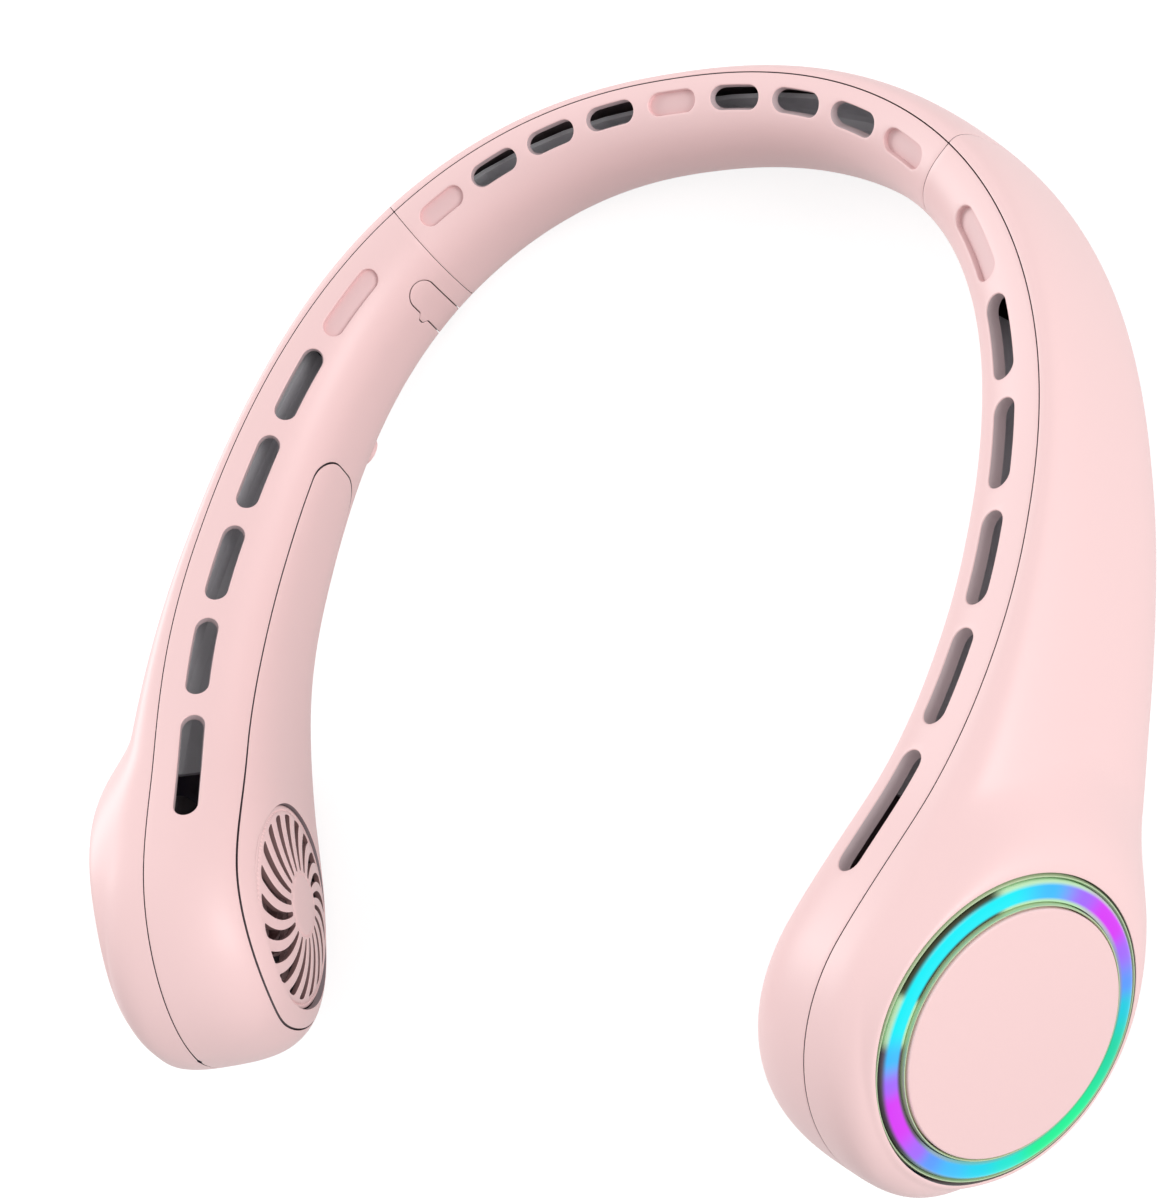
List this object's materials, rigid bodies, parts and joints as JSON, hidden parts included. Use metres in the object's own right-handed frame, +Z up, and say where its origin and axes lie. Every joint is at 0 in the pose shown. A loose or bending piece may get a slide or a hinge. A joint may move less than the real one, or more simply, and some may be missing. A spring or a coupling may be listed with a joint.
{
  "type": "neck fan",
  "caption": "Bladeless neck fan: a horseshoe band with slots along its top, a fan housing at each end, a pinwheel intake grille inside and a lit ring with a flat cap outside.",
  "frame": {"origin": "middle of the footprint, on the table that the fan stands on", "axes": "+Z up, out of the slotted top face; +Y towards the back of the neck; +X towards the arm without the charging port"},
  "size_m": [0.1998, 0.201, 0.0575],
  "materials": {
    "shell_pink": "satin",
    "wheel_pink": "satin",
    "clear_trim": "clear",
    "lit_ring": "frosted, lit from behind in changing colours",
    "board_green": "solder mask",
    "dark_plastic": "matt",
    "stator_copper": "wound",
    "steel": "bright",
    "magnet": "matt",
    "battery_wrap": "wrapped",
    "flap_pink": "satin",
    "switch_black": "matt",
    "wire": "matt"
  },
  "bodies": {
    "casing": {"mid_outer_shell": "shell_pink", "mid_inner_shell": "shell_pink", "mid_air_duct": "dark_plastic", "outer_shell_left": "shell_pink", "outer_shell_right": "shell_pink", "inner_shell_left": "shell_pink", "inner_shell_right": "shell_pink", "inner_cover_left": "shell_pink", "inner_cover_right": "shell_pink", "intake_grille_left": "shell_pink", "intake_grille_right": "shell_pink", "ring_trim_left": "clear_trim", "ring_trim_right": "clear_trim", "light_ring_left": "lit_ring", "light_ring_right": "lit_ring", "centre_cap_left": "shell_pink", "centre_cap_right": "shell_pink", "light_board_left": "board_green", "light_board_right": "board_green", "motor_plate_left": "dark_plastic", "motor_plate_right": "dark_plastic", "motor_stator_left": "stator_copper", "motor_stator_right": "stator_copper", "shaft_bearings_left": "steel", "shaft_bearings_right": "steel", "air_duct_left": "dark_plastic", "air_duct_right": "dark_plastic", "battery_left": "battery_wrap", "battery_right": "battery_wrap", "seam_sleeve_left": "dark_plastic", "seam_sleeve_right": "dark_plastic", "control_board": "board_green", "charging_socket": "steel", "button_switch": "switch_black", "wire_harness": "wire", "board_screws": "steel"},
    "rotor_left": {"fan_wheel_left": "wheel_pink", "rotor_magnet_left": "magnet", "rotor_shaft_left": "steel"},
    "rotor_right": {"fan_wheel_right": "wheel_pink", "rotor_magnet_right": "magnet", "rotor_shaft_right": "steel"},
    "flap": {"port_flap": "flap_pink"},
    "button": {"power_button": "flap_pink"}
  },
  "joints": [
    {"name": "left_fan_spin", "type": "hinge", "parent": "casing", "child": "rotor_left", "pos_m": [-0.0761, -0.07247, 0.03009], "axis": [-0.8928, -0.2905, 0.3443], "continuous": true},
    {"name": "right_fan_spin", "type": "hinge", "parent": "casing", "child": "rotor_right", "pos_m": [0.0761, -0.07247, 0.03009], "axis": [0.8928, -0.2905, 0.3443], "continuous": true},
    {"name": "port_flap_hinge", "type": "hinge", "parent": "casing", "child": "flap", "pos_m": [-0.06479, 0.06209, 0.00197], "axis": [0.5841, 0.8098, -0.0554], "range_deg": [0, 100]},
    {"name": "power_button_press", "type": "slide", "parent": "casing", "child": "button", "axis": [-0.284, 0.1387, 0.9487], "range_m": [0, 0.0006], "stiffness_N_per_m": 700}
  ]
}
